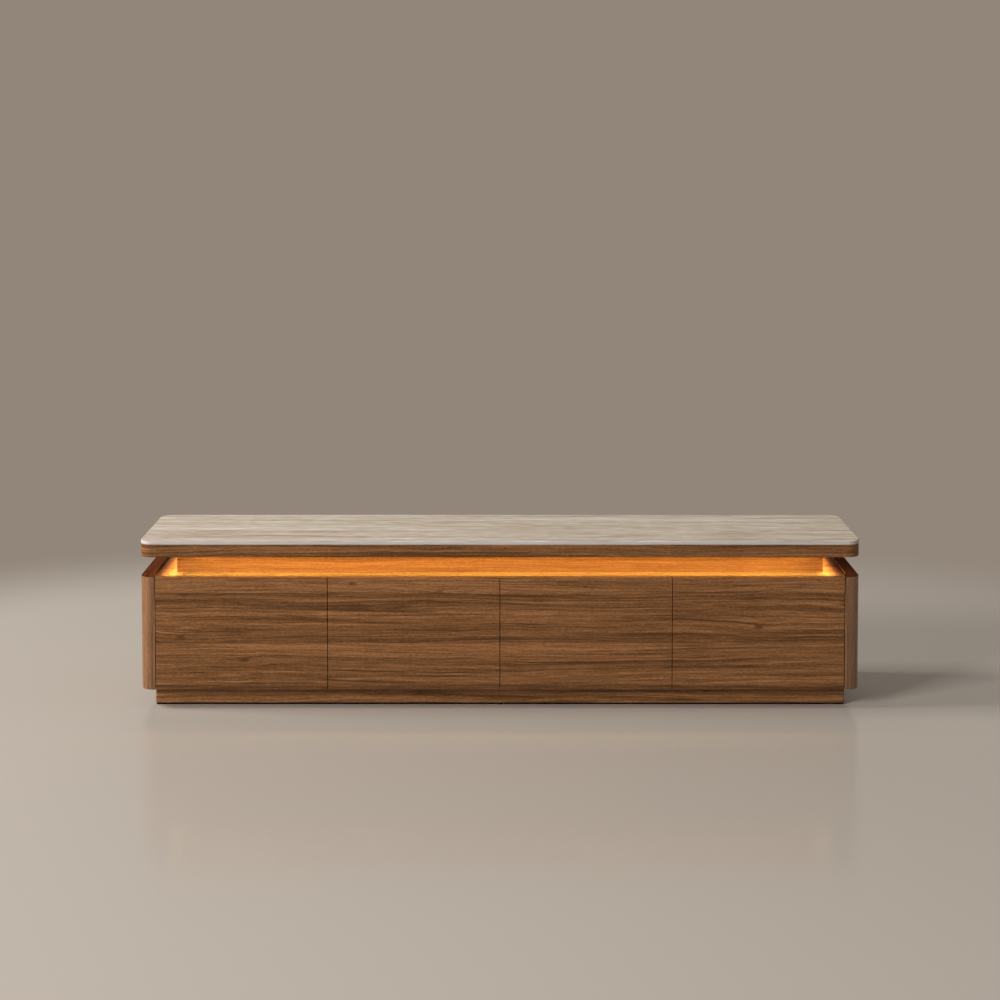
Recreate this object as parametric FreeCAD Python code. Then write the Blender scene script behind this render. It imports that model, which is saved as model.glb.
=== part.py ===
# TV stand: stone top on a lit riser, over a walnut body with four push-to-open drawers
# Millimetres, +Z up, origin on the floor under the middle of the top, fronts facing -Y
import math
import os

import FreeCAD, Part

V = FreeCAD.Vector
TOLERANCE = 1e-6

# Top
TOP_WIDTH = 2197.0
TOP_DEPTH = 397.0
STONE_THICKNESS = 12.0
STONE_CORNER_RADIUS = 38.5
STONE_ARRIS = 1.8
STONE_OVERHANG = 0.5
BOARD_THICKNESS = 38.0
BOARD_ARRIS = 1.0

# Heights from the floor up
GLIDE_HEIGHT = 6.5
PLINTH_HEIGHT = 51.5
BODY_HEIGHT = 347.0
GAP_HEIGHT = 61.5

# Carcass
SIDE_THICKNESS = 35.0
POST_WIDTH = 45.5
POST_DEPTH = 48.0
DECK_THICKNESS = 18.0
DECK_DROP = 6.5
BOTTOM_THICKNESS = 18.0
PARTITION_THICKNESS = 18.0
BACK_THICKNESS = 9.0
BACK_INSET = 8.0

# Riser that carries the top
RISER_INSET = 98.0
RISER_PANEL = 18.0
RISER_RAIL_THICKNESS = 18.0
RISER_RAIL_COUNT = 5

# Plinth and glides
PLINTH_INSET = 39.5
PLINTH_BOARD = 18.0
PLINTH_CORNER_RADIUS = 4.0
GLIDE_RADIUS = 8.0
GLIDE_SETBACK = 45.0
STRIP_INSET = 2.0
STRIP_WIDTH = 10.0
STRIP_FLOOR_GAP = 1.0
STRIP_GLIDE_GAP = 3.0

# Drawer fronts
DRAWER_COUNT = 4
FRONT_THICKNESS = 20.0
FRONT_GAP = 2.0
FRONT_EDGE_ROUND = 1.0
PRESS_TRAVEL = 3.0
PRESS_CLEARANCE = 1.0

# Drawer boxes
BOX_SIDE = 15.0
BOX_BACK = 15.0
BOX_BOTTOM = 8.0
BOX_GROOVE = 7.0
BOX_BOTTOM_RISE = 10.0
BOX_FLOOR_CLEARANCE = 16.0
BOX_TOP_CLEARANCE = 38.0
BOX_REAR_CLEARANCE = 20.0
BOX_EDGE_ROUND = 2.0

# Telescopic runners
RUNNER_HEIGHT = 45.0
RUNNER_WIDTH = 12.7
RUNNER_SHEET = 1.2
RUNNER_BALL_GAP = 2.6
RUNNER_LIP = 1.1
RUNNER_LIP_SHEET = 1.0
RUNNER_FIT = 0.3
RUNNER_SETBACK = 2.0
RUNNER_RISE = 90.0
EJECTOR_LENGTH = 38.0
RUNNER_REAR_CLEARANCE = 8.0
CAGE_END_CLEARANCE = 12.0

# Light in the underside of the board
CHANNEL_WALL = 1.2
FRONT_CHANNEL_WIDTH = 17.0
FRONT_CHANNEL_DEPTH = 10.0
FRONT_CHANNEL_SETBACK = 33.0
FRONT_CHANNEL_TILT = 30.0
FRONT_CHANNEL_END = 14.0
END_CHANNEL_WIDTH = 14.0
END_CHANNEL_DEPTH = 28.0
END_CHANNEL_GAP = 3.0
END_CHANNEL_START = 42.0
END_CHANNEL_LENGTH = 300.0
TAPE_WIDTH = 10.0
TAPE_THICKNESS = 1.6
DIFFUSER_THICKNESS = 1.4
DIFFUSER_STAND_OFF = 3.0
DRIVER_LENGTH = 170.0
DRIVER_WIDTH = 46.0
DRIVER_HEIGHT = 30.0
DRIVER_EDGE_ROUND = 3.0
DRIVER_END_GAP = 90.0
INLET_END_GAP = 120.0
INLET_WIDTH = 34.0
INLET_HEIGHT = 26.0
INLET_FLANGE = 3.0
INLET_LIP = 4.0
INLET_BODY_DEPTH = 24.0
INLET_WELL_DEPTH = 15.0
INLET_WELL_WIDTH = 16.0
INLET_WELL_HEIGHT = 9.0
INLET_WELL_ROUND = 4.0
LEAD_WIDTH = 5.0
LEAD_THICKNESS = 2.0
LEAD_BEND = 14.0
LEAD_SLOT_CLEARANCE = 0.5

# Biscuits that join the partitions to the bottom and the deck
BISCUIT_LENGTH = 56.0
BISCUIT_WIDTH = 23.0
BISCUIT_THICKNESS = 4.0
BISCUIT_EDGE = 70.0

# Levels and planes that the pieces share
plinth_z = GLIDE_HEIGHT
body_z = plinth_z + PLINTH_HEIGHT
rim_z = body_z + BODY_HEIGHT
board_z = rim_z + GAP_HEIGHT
stone_z = board_z + BOARD_THICKNESS
top_z = stone_z + STONE_THICKNESS
deck_top = rim_z - DECK_DROP
deck_z = deck_top - DECK_THICKNESS
floor_z = body_z + BOTTOM_THICKNESS

half_width = TOP_WIDTH / 2 - STONE_OVERHANG
half_depth = TOP_DEPTH / 2 - STONE_OVERHANG
corner_radius = STONE_CORNER_RADIUS - STONE_OVERHANG
side_x = half_width - SIDE_THICKNESS
post_x = half_width - POST_WIDTH
front_back_y = -half_depth + FRONT_THICKNESS
carcass_y = front_back_y + PRESS_TRAVEL + PRESS_CLEARANCE
back_outer_y = half_depth - BACK_INSET
back_y = back_outer_y - BACK_THICKNESS

front_width = (2 * post_x - (DRAWER_COUNT + 1) * FRONT_GAP) / DRAWER_COUNT
front_pitch = front_width + FRONT_GAP
bay_width = front_pitch - PARTITION_THICKNESS
box_half = bay_width / 2 - RUNNER_WIDTH
drawer_centres = [(i - (DRAWER_COUNT - 1) / 2) * front_pitch for i in range(DRAWER_COUNT)]
partition_centres = [(i - DRAWER_COUNT / 2) * front_pitch for i in range(1, DRAWER_COUNT)]

box_z = floor_z + BOX_FLOOR_CLEARANCE
box_top = deck_z - BOX_TOP_CLEARANCE
box_rear_y = back_y - BOX_REAR_CLEARANCE
box_bottom_z = box_z + BOX_BOTTOM_RISE
box_bottom_top = box_bottom_z + BOX_BOTTOM

runner_z = box_z + RUNNER_RISE
runner_front_y = carcass_y + RUNNER_SETBACK
ejector_rear_y = back_y - RUNNER_REAR_CLEARANCE
ejector_front_y = ejector_rear_y - EJECTOR_LENGTH
runner_rear_y = ejector_front_y - PRESS_TRAVEL - RUNNER_FIT

riser_x = half_width - RISER_INSET
riser_y = half_depth - RISER_INSET
plinth_x = half_width - PLINTH_INSET
plinth_y = half_depth - PLINTH_INSET

nodes = {}


def block(x, y, z):
    """Box between pairs of limits in X, Y and Z."""
    size = [limits[1] - limits[0] for limits in (x, y, z)]
    return Part.makeBox(*size, V(x[0], y[0], z[0]))


def mirror_x(shape, x=0.0):
    """Mirror image in the plane at X."""
    return shape.mirror(V(x, 0, 0), V(1, 0, 0))


def vertical_edges(shape, corners):
    """Upright edges of a shape that stand at the given corners in plan."""
    found = []
    for edge in shape.Edges:
        a, b = edge.Vertexes[0].Point, edge.Vertexes[-1].Point
        upright = abs(a.x - b.x) + abs(a.y - b.y) < TOLERANCE
        if upright and any(abs(a.x - x) + abs(a.y - y) < TOLERANCE for x, y in corners):
            found.append(edge)
    return found


def level_edges(shape, z):
    """Edges of a shape that lie at one height."""
    return [e for e in shape.Edges if abs(e.BoundBox.ZMin - z) + abs(e.BoundBox.ZMax - z) < TOLERANCE]


def rounded_slab(half_x, half_y, radius, z, thickness):
    """Slab with the same round on its four plan corners."""
    slab = block((-half_x, half_x), (-half_y, half_y), (z, z + thickness))
    corners = [(sx * half_x, sy * half_y) for sx in (-1, 1) for sy in (-1, 1)]
    return slab.makeFillet(radius, vertical_edges(slab, corners))


def profile(points, y):
    """Section drawn in X and Z, pulled along Y between two limits."""
    ring = [V(px, y[0], pz) for px, pz in points]
    face = Part.Face(Part.makePolygon(ring + ring[:1]))
    return face.extrude(V(0, y[1] - y[0], 0))


def biscuit(x, y, z):
    """Upright lens of pressed wood, half above and half below the joint at z."""
    ends = [V(x, y - BISCUIT_LENGTH / 2, z), V(x, y + BISCUIT_LENGTH / 2, z)]
    arcs = [Part.Arc(ends[0], V(x, y, z + side * BISCUIT_WIDTH / 2), ends[1]) for side in (-1, 1)]
    lens = Part.Face(Part.Wire([arc.toShape() for arc in arcs]))
    lens.translate(V(-BISCUIT_THICKNESS / 2, 0, 0))
    return lens.extrude(V(BISCUIT_THICKNESS, 0, 0))


def make_stone():
    """Stone slab with a fine arris on its top and bottom edges."""
    slab = rounded_slab(TOP_WIDTH / 2, TOP_DEPTH / 2, STONE_CORNER_RADIUS, stone_z, STONE_THICKNESS)
    return slab.makeChamfer(STONE_ARRIS, level_edges(slab, stone_z) + level_edges(slab, top_z))


def channel_places():
    """Front run: front edge of its mouth and half its length. End run: its X and its limits in Y."""
    front_y = -half_depth + FRONT_CHANNEL_SETBACK
    front_x = riser_x - FRONT_CHANNEL_END
    end_x = riser_x + END_CHANNEL_GAP + END_CHANNEL_WIDTH / 2
    end_front = -half_depth + END_CHANNEL_START
    return front_y, front_x, end_x, (end_front, end_front + END_CHANNEL_LENGTH)


def channel_section(width, depth):
    """Open channel, mouth down and flush with the underside of the board."""
    outer, inner = width / 2, width / 2 - CHANNEL_WALL
    ceiling = board_z + depth - CHANNEL_WALL
    return [(-outer, board_z), (-inner, board_z), (-inner, ceiling), (inner, ceiling), (inner, board_z),
            (outer, board_z), (outer, board_z + depth), (-outer, board_z + depth)]


def along_x(shape, centre_y, half_length):
    """Turn a run drawn along Y from zero so that it lies along X, centred."""
    run = shape.copy()
    run.rotate(V(0, 0, 0), V(0, 0, 1), -90)
    run.translate(V(-half_length, centre_y, 0))
    return run


def light_run(width, depth, length, reach=0.0):
    """Channel, tape, diffuser and slot, drawn along Y from zero. The slot reaches below the mouth."""
    y = (0, length)
    ceiling = board_z + depth - CHANNEL_WALL
    tape_z = ceiling - TAPE_THICKNESS
    diffuser_top = tape_z - DIFFUSER_STAND_OFF
    inner = width / 2 - CHANNEL_WALL
    channel = profile(channel_section(width, depth), y)
    tape = block((-TAPE_WIDTH / 2, TAPE_WIDTH / 2), y, (tape_z, ceiling))
    diffuser = block((-inner, inner), y, (diffuser_top - DIFFUSER_THICKNESS, diffuser_top))
    slot = block((-width / 2, width / 2), y, (board_z - reach, board_z + depth))
    return channel, tape, diffuser, slot


def make_light():
    """Light channels with tapes and diffusers, and the slots that they need in the board.

    The front run is turned towards the riser, so that its light stays in the gap.
    """
    front_y, front_x, end_x, end_y = channel_places()
    reach = FRONT_CHANNEL_WIDTH * math.tan(math.radians(FRONT_CHANNEL_TILT))
    front = light_run(FRONT_CHANNEL_WIDTH, FRONT_CHANNEL_DEPTH, 2 * front_x, reach)
    front = [along_x(shape, front_y + FRONT_CHANNEL_WIDTH / 2, front_x) for shape in front]
    edge = V(0, front_y, board_z)
    front = [shape.rotated(edge, V(1, 0, 0), FRONT_CHANNEL_TILT) for shape in front]
    right = light_run(END_CHANNEL_WIDTH, END_CHANNEL_DEPTH, end_y[1] - end_y[0])
    right = [shape.translated(V(end_x, end_y[0], 0)) for shape in right]
    left = [mirror_x(shape) for shape in right]
    nodes["led_channel_front"] = front[0]
    nodes["led_channel_ends"] = Part.makeCompound([left[0], right[0]])
    nodes["led_tapes"] = Part.makeCompound([front[1], left[1], right[1]])
    nodes["led_diffusers"] = Part.makeCompound([front[2], left[2], right[2]])
    return [front[3], left[3], right[3]]


def quarter_bend(start, stop, centre):
    """Quarter arc from one point to another about a centre."""
    middle = centre + ((start + stop) * 0.5 - centre) * 2 ** 0.5
    return Part.Arc(start, middle, stop)


def make_lead():
    """Flat twin lead from the driver up to the board and along its groove to the channel, and the groove."""
    start_x = -riser_x + DRIVER_END_GAP
    rise_x = start_x - 2 * LEAD_BEND
    stop_x = -channel_places()[2] + END_CHANNEL_WIDTH / 2
    low_z = deck_top + DRIVER_HEIGHT / 2
    high_z = board_z + LEAD_THICKNESS
    y = -LEAD_WIDTH / 2
    low_centre = V(rise_x + LEAD_BEND, y, low_z + LEAD_BEND)
    high_centre = V(rise_x - LEAD_BEND, y, high_z - LEAD_BEND)
    up, left = V(0, 0, LEAD_BEND), V(-LEAD_BEND, 0, 0)
    points = [V(start_x, y, low_z), low_centre - up, low_centre + left, high_centre - left,
              high_centre + up, V(stop_x, y, high_z)]
    edges = [Part.LineSegment(points[0], points[1]), quarter_bend(points[1], points[2], low_centre),
             Part.LineSegment(points[2], points[3]), quarter_bend(points[3], points[4], high_centre),
             Part.LineSegment(points[4], points[5])]
    band = Part.Wire([edge.toShape() for edge in edges]).extrude(V(0, LEAD_WIDTH, 0))
    lead = band.makeOffsetShape(LEAD_THICKNESS, TOLERANCE, fill=True)
    room = LEAD_WIDTH / 2 + LEAD_SLOT_CLEARANCE
    reach = LEAD_THICKNESS + LEAD_SLOT_CLEARANCE
    groove = block((stop_x, rise_x + reach), (-room, room), (board_z, high_z + reach))
    return lead, groove


def make_top():
    """Stone, board with its slots, light and the lead that feeds it."""
    slots = make_light()
    lead, groove = make_lead()
    board = rounded_slab(half_width, half_depth, corner_radius, board_z, BOARD_THICKNESS)
    board = board.makeChamfer(BOARD_ARRIS, level_edges(board, board_z) + level_edges(board, stone_z))
    nodes["stone_top"] = make_stone()
    nodes["top_board"] = board.cut(slots + [groove])
    nodes["led_lead"] = lead


def make_inlet():
    """Two-pin mains inlet in the back of the riser: flange, body and open well."""
    x, z = riser_x - INLET_END_GAP, (deck_top + board_z) / 2
    half_w, half_h = INLET_WIDTH / 2, INLET_HEIGHT / 2
    body = block((x - half_w, x + half_w), (riser_y - INLET_BODY_DEPTH, riser_y), (z - half_h, z + half_h))
    lip_w, lip_h = half_w + INLET_LIP, half_h + INLET_LIP
    flange = block((x - lip_w, x + lip_w), (riser_y, riser_y + INLET_FLANGE), (z - lip_h, z + lip_h))
    face_y = riser_y + INLET_FLANGE
    well = block((x - INLET_WELL_WIDTH / 2, x + INLET_WELL_WIDTH / 2), (face_y - INLET_WELL_DEPTH, face_y),
                 (z - INLET_WELL_HEIGHT / 2, z + INLET_WELL_HEIGHT / 2))
    rounds = [e for e in well.Edges if abs(e.BoundBox.YLength - INLET_WELL_DEPTH) < TOLERANCE]
    well = well.makeFillet(INLET_WELL_ROUND, rounds)
    return body.fuse(flange).cut(well).removeSplitter(), body


def make_riser():
    """Hollow box on the deck: panels, cross rails, driver and inlet."""
    z = (deck_top, board_z)
    inner_y = riser_y - RISER_PANEL
    inlet, inlet_body = make_inlet()
    nodes["riser_front_panel"] = block((-riser_x, riser_x), (-riser_y, -inner_y), z)
    nodes["riser_back_panel"] = block((-riser_x, riser_x), (inner_y, riser_y), z).cut(inlet_body)
    right = block((riser_x - RISER_PANEL, riser_x), (-inner_y, inner_y), z)
    nodes["riser_end_left"] = mirror_x(right)
    nodes["riser_end_right"] = right
    nodes["riser_cross_rails"] = Part.makeCompound([
        block((x - RISER_RAIL_THICKNESS / 2, x + RISER_RAIL_THICKNESS / 2), (-inner_y, inner_y), z)
        for x in riser_rail_centres()])
    start_x = -riser_x + DRIVER_END_GAP
    driver = block((start_x, start_x + DRIVER_LENGTH), (-DRIVER_WIDTH / 2, DRIVER_WIDTH / 2),
                   (deck_top, deck_top + DRIVER_HEIGHT))
    nodes["led_driver"] = driver.makeFillet(DRIVER_EDGE_ROUND, level_edges(driver, deck_top + DRIVER_HEIGHT))
    nodes["led_inlet"] = inlet


def riser_rail_centres():
    """Cross rails spread evenly between the ends of the riser."""
    step = 2 * riser_x / (RISER_RAIL_COUNT + 1)
    return [-riser_x + step * (i + 1) for i in range(RISER_RAIL_COUNT)]


def corner_post(sx, sy):
    """Upright corner piece with a quarter-round outer edge."""
    x = sorted((sx * post_x, sx * half_width))
    y = sorted((sy * (half_depth - POST_DEPTH), sy * half_depth))
    post = block(x, y, (body_z, rim_z))
    return post.makeFillet(corner_radius, vertical_edges(post, [(sx * half_width, sy * half_depth)]))


def notched_panel(z, posts):
    """Panel between the sides, notched round the corner posts."""
    return block((-side_x, side_x), (carcass_y, back_outer_y), z).cut(posts)


def make_carcass():
    """Sides, posts, deck, bottom, back, partitions with their biscuits, and packers."""
    posts = {}
    for sy, row in ((-1, "front"), (1, "rear")):
        for sx, hand in ((-1, "left"), (1, "right")):
            posts[f"corner_post_{row}_{hand}"] = corner_post(sx, sy)
    nodes.update(posts)
    side = block((side_x, half_width), (-half_depth + POST_DEPTH, half_depth - POST_DEPTH), (body_z, rim_z))
    nodes["side_panel_right"] = side
    nodes["side_panel_left"] = mirror_x(side)
    around = list(posts.values())
    deck = notched_panel((deck_z, deck_top), around)
    bottom = notched_panel((body_z, floor_z), around)
    nodes["back_panel"] = block((-post_x, post_x), (back_y, back_outer_y), (floor_z, deck_z))

    rows = (carcass_y + BISCUIT_EDGE, back_y - BISCUIT_EDGE)
    low, high = ([biscuit(x, y, z) for x in partition_centres for y in rows] for z in (floor_z, deck_z))
    for centre, name in zip(partition_centres, ("left", "centre", "right")):
        half = PARTITION_THICKNESS / 2
        upright = block((centre - half, centre + half), (carcass_y, back_y), (floor_z, deck_z))
        nodes[f"partition_{name}"] = upright.cut(low + high)
    nodes["deck_panel"] = deck.cut(high)
    nodes["bottom_panel"] = bottom.cut(low)
    nodes["joint_biscuits"] = Part.makeCompound(low + high)

    packer_x = drawer_centres[-1] + bay_width / 2
    half = RUNNER_HEIGHT / 2
    packer = block((packer_x, side_x), (runner_front_y, ejector_rear_y), (runner_z - half, runner_z + half))
    packer = packer.cut(around)
    nodes["runner_packers"] = Part.makeCompound([mirror_x(packer), packer])


def make_plinth():
    """Recessed frame under the body, with rounded outer corners, its glides and base strips."""
    z = (plinth_z, body_z)
    inner_y = plinth_y - PLINTH_BOARD
    front = block((-plinth_x, plinth_x), (-plinth_y, -inner_y), z)
    front = front.makeFillet(PLINTH_CORNER_RADIUS, vertical_edges(front, [(-plinth_x, -plinth_y),
                                                                          (plinth_x, -plinth_y)]))
    nodes["plinth_front"] = front
    nodes["plinth_back"] = front.mirror(V(0, 0, 0), V(0, 1, 0))
    end = block((plinth_x - PLINTH_BOARD, plinth_x), (-inner_y, inner_y), z)
    nodes["plinth_ends"] = Part.makeCompound([mirror_x(end), end])
    half = PLINTH_BOARD / 2
    nodes["plinth_cross_rails"] = Part.makeCompound([
        block((x - half, x + half), (-inner_y, inner_y), z) for x in partition_centres])

    end_centre = plinth_x - half
    board_centre = plinth_y - half
    row = plinth_y - GLIDE_SETBACK
    places = [(0.0, -board_centre), (0.0, board_centre)]
    for x in (-end_centre, partition_centres[0], partition_centres[-1], end_centre):
        places += [(x, -row), (x, row)]
    nodes["glide_feet"] = Part.makeCompound([
        Part.makeCylinder(GLIDE_RADIUS, GLIDE_HEIGHT, V(x, y, 0)) for x, y in places])
    make_strips(places)


def make_strips(glides):
    """Black strips under the plinth boards, set back from their faces and interrupted at the glides."""
    z = (STRIP_FLOOR_GAP, plinth_z)
    out_x, out_y = plinth_x - STRIP_INSET, plinth_y - STRIP_INSET
    in_x, in_y = out_x - STRIP_WIDTH, out_y - STRIP_WIDTH
    front = block((-out_x, out_x), (-out_y, -in_y), z)
    end = block((in_x, out_x), (-in_y, in_y), z)
    room = GLIDE_RADIUS + STRIP_GLIDE_GAP
    gaps = [block((x - room, x + room), (y - room, y + room), z) for x, y in glides]
    runs = [front, front.mirror(V(0, 0, 0), V(0, 1, 0)), end, mirror_x(end)]
    nodes["plinth_base_strips"] = Part.makeCompound([solid for run in runs for solid in run.cut(gaps).Solids])


def runner_channel(half_height, web, lip_x, lip):
    """Channel section: sheet web at one X, flanges to another, each with a lip turned inwards."""
    step = 1 if lip_x > web else -1
    sheet, edge = step * RUNNER_SHEET, step * RUNNER_LIP_SHEET
    inner = half_height - RUNNER_SHEET
    upper = [(web, half_height), (lip_x, half_height), (lip_x, inner - lip), (lip_x - edge, inner - lip),
             (lip_x - edge, inner), (web + sheet, inner)]
    lower = [(x, -z) for x, z in reversed(upper)]
    return upper + lower


def make_runner():
    """One runner with its carcass face at X zero: fixed member, middle member and drawer member."""
    reach = RUNNER_WIDTH - RUNNER_SHEET - RUNNER_LIP_SHEET
    fixed_half = RUNNER_HEIGHT / 2
    middle_half = fixed_half - RUNNER_SHEET - RUNNER_BALL_GAP
    drawer_half = middle_half - RUNNER_SHEET - RUNNER_BALL_GAP
    middle_web = RUNNER_SHEET + RUNNER_FIT
    drawer_tip = middle_web + RUNNER_SHEET + RUNNER_FIT

    fixed = profile(runner_channel(fixed_half, 0, reach, RUNNER_LIP), (runner_front_y, ejector_rear_y))
    ejector = block((RUNNER_SHEET, reach), (ejector_front_y, ejector_rear_y), (-drawer_half, drawer_half))
    fixed = fixed.fuse(ejector)

    travel_y = (runner_front_y, runner_rear_y)
    cage_y = (runner_front_y + CAGE_END_CLEARANCE, runner_rear_y - CAGE_END_CLEARANCE)
    middle = profile(runner_channel(middle_half, middle_web, reach, RUNNER_LIP), travel_y)
    cage_x = (drawer_tip + RUNNER_LIP_SHEET + RUNNER_FIT, reach - RUNNER_LIP_SHEET - RUNNER_FIT)
    cage = RUNNER_BALL_GAP - RUNNER_FIT
    outer_cage = block(cage_x, cage_y, (middle_half, middle_half + cage))
    inner_top = middle_half - RUNNER_SHEET
    inner_cage = block(cage_x, cage_y, (inner_top - cage, inner_top))
    cages = [outer_cage, inner_cage]
    cages += [c.mirror(V(0, 0, 0), V(0, 0, 1)) for c in cages]
    middle = middle.fuse(cages)

    drawer = profile(runner_channel(drawer_half, RUNNER_WIDTH, drawer_tip, 0), travel_y)
    return [shape.translated(V(0, 0, runner_z)) for shape in (fixed, middle, drawer)]


def make_front(centre):
    """Flush front board with softened edges on its face and a groove for the box's bottom."""
    half = front_width / 2
    front = block((centre - half, centre + half), (-half_depth, front_back_y), (body_z, rim_z))
    face_edges = [e for e in front.Edges if e.BoundBox.YMax < -half_depth + TOLERANCE]
    front = front.makeFillet(FRONT_EDGE_ROUND, face_edges)
    groove_half = box_half - BOX_SIDE + BOX_GROOVE
    return front.cut(block((centre - groove_half, centre + groove_half),
                           (front_back_y - BOX_GROOVE, front_back_y), (box_bottom_z, box_bottom_top)))


def make_drawer(number, centre, runner):
    """Front, box and the moving runner members of one drawer."""
    name = f"drawer_{number}"
    inner = box_half - BOX_SIDE
    tongue = inner + BOX_GROOVE
    y = (front_back_y, box_rear_y)
    bottom = block((centre - tongue, centre + tongue), (front_back_y - BOX_GROOVE, box_rear_y),
                   (box_bottom_z, box_bottom_top))
    side = block((centre + inner, centre + box_half), y, (box_z, box_top))
    top_edges = [e for e in level_edges(side, box_top) if e.BoundBox.YLength > e.BoundBox.XLength]
    side = side.makeFillet(BOX_EDGE_ROUND, top_edges).cut(bottom)
    nodes[f"{name}_front"] = make_front(centre)
    nodes[f"{name}_sides"] = Part.makeCompound([mirror_x(side, centre), side])
    nodes[f"{name}_back"] = block((centre - inner, centre + inner), (box_rear_y - BOX_BACK, box_rear_y),
                                  (box_bottom_top, box_top))
    nodes[f"{name}_bottom"] = bottom
    placed = [shape.translated(V(centre - bay_width / 2, 0, 0)) for shape in runner]
    pairs = [[shape, mirror_x(shape, centre)] for shape in placed]
    nodes[f"{name}_runner_middles"] = Part.makeCompound(pairs[1])
    nodes[f"{name}_runner_slides"] = Part.makeCompound(pairs[2])
    return pairs[0]


def main():
    """Make every piece and write one file for each."""
    make_top()
    make_riser()
    make_carcass()
    make_plinth()
    runner = make_runner()
    fixed = []
    for number, centre in enumerate(drawer_centres, 1):
        fixed += make_drawer(number, centre, runner)
    nodes["runner_fixed_rails"] = Part.makeCompound(fixed)

    os.makedirs("parts", exist_ok=True)
    for name, shape in nodes.items():
        shape.exportStep(f"parts/{name}.step")
    print(len(nodes), "nodes, height", top_z, "front width", front_width)


main()
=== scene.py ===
# TV stand in walnut and stone: finishes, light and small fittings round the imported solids
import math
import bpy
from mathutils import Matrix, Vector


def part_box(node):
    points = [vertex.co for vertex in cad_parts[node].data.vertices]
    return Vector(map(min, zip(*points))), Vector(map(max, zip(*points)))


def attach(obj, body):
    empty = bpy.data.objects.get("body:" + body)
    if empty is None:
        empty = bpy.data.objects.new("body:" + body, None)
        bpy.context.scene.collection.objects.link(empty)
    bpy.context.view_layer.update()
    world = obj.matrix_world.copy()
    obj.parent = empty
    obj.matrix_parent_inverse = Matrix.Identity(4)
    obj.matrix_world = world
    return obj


bl_info = {
    "name": "Walnut TV stand with a lit gap",
    "version": (1, 0, 0),
    "blender": (4, 5, 0),
    "location": "View3D > Sidebar > TV stand",
    "description": "Dresses the solids of a walnut TV stand with a stone top, warm light and four drawers",
    "category": "Object",
}

from typing import NamedTuple

import bpy
import numpy as np
from bpy.props import FloatProperty, FloatVectorProperty, PointerProperty
from bpy.types import Operator, Panel, PropertyGroup
from mathutils import Vector

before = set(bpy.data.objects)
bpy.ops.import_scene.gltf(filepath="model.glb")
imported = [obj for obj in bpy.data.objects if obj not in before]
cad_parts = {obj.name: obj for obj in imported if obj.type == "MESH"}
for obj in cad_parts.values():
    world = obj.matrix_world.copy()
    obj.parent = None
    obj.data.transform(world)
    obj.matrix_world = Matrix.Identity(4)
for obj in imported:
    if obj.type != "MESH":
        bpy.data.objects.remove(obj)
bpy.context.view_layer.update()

DRAWERS = (1, 2, 3, 4)
HANDS = (("left", -1), ("right", 1))
NOISE_MIDDLE = 0.5

# Least upward part of the normal on a level face, without and with its bevelled edges
FLAT_LIMIT = 0.8
ARRIS_LIMIT = 0.5


class Streaks(NamedTuple):
    """Layer of noise pulled out along a grain.

    Waves in a metre along and across the grain, octaves and their share, the weight of the layer, and an
    offset that keeps it apart from other layers.
    """

    along: float
    across: float
    octaves: float
    share: float
    weight: float
    offset: float = 0.0


class Cloud(NamedTuple):
    """Layer of noise stretched along three axes: waves in a metre along each, octaves and their share."""

    waves: tuple
    octaves: float = 2.0
    share: float = 0.5


class Leaf(NamedTuple):
    """Leaf of veneer on the fronts: height of its lower joint, and its tone at the bottom, middle and top."""

    bottom: float
    low: float
    middle: float
    high: float


class Metal(NamedTuple):
    """Bare metal: colour, roughness, and the noise of its fine lines."""

    tint: tuple
    roughness: float
    lines: Cloud


class Plastic(NamedTuple):
    """Moulded plastic: colour, roughness, pebbles in a metre, and specular level."""

    tint: tuple
    roughness: float
    grain: float
    shine: float = 0.5


class Lamp(NamedTuple):
    """Soft lamp: degrees from the front to the left, degrees up, and distance and size in metres."""

    bearing: float
    elevation: float
    distance: float
    size: float


# Walnut: the first two layers bend the grain, with weights in metres, and the others set its tone
DRIFT = Streaks(0.9, 5.0, 3.0, 0.5, 0.060)
SWAY = Streaks(6.0, 30.0, 2.0, 0.5, 0.002)
BROAD = Streaks(0.7, 60.0, 5.0, 0.68, 1.5)
PORES = Streaks(45.0, 1400.0, 2.0, 0.5, 0.5)
SHORT = Streaks(14.0, 300.0, 3.0, 0.62, 1.5, 2.0)
THREADS = Streaks(2.0, 180.0, 3.0, 0.62, 1.9, 3.0)
LINES = Streaks(0.5, 34.0, 2.0, 0.5, 1.0, 4.0)
HAIRS = Streaks(1.3, 85.0, 2.0, 0.5, 1.0, 5.0)
FLECKS = Streaks(90.0, 220.0, 2.0, 0.5, 0.9, 6.0)
LINE_EDGE = ((0.0, 1.0), (0.03, 0.0))
SEED_STEP = 5.3
PLAIN = (1.0, 1.0, 1.0)
# Painted glow: a yellower tint of the deck's pale streaks for the light of the front run
DECK_PAINTED_GLOW = (0.95, 1.24, 1.06)
# Painted sheen: a bluer tint of the uprights' pale streaks that stands in for gloss on the posts
UPRIGHT_PAINTED_SHEEN = (1.0, 1.05, 1.25)
SHORT_BUMP = 0.3
SHORT_SMOOTHING = 0.1
WALNUT_BUMP = (0.16, 0.0004)
# Roughness and specular level of the rims, whose darker, redder colour is painted shade and painted glow
RIM_ROUGHNESS = 0.8
RIM_SHINE = 0.05

# Leaves of veneer on the fronts: the shift of the grain between two of them, and half the width of a joint
LEAVES = (
    # The lowest entry is a flat, darker band 16 mm tall along the bottom of the fronts
    Leaf(0.0580, 0.23, 0.23, 0.23),
    Leaf(0.0742, 0.59, 0.47, 0.71),
    Leaf(0.2021, 0.31, 0.61, 0.40),
    Leaf(0.3573, 0.70, 0.73, 0.76),
)
LEAF_SHIFT = 3.7
LEAF_JOINT = 0.0003

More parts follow.
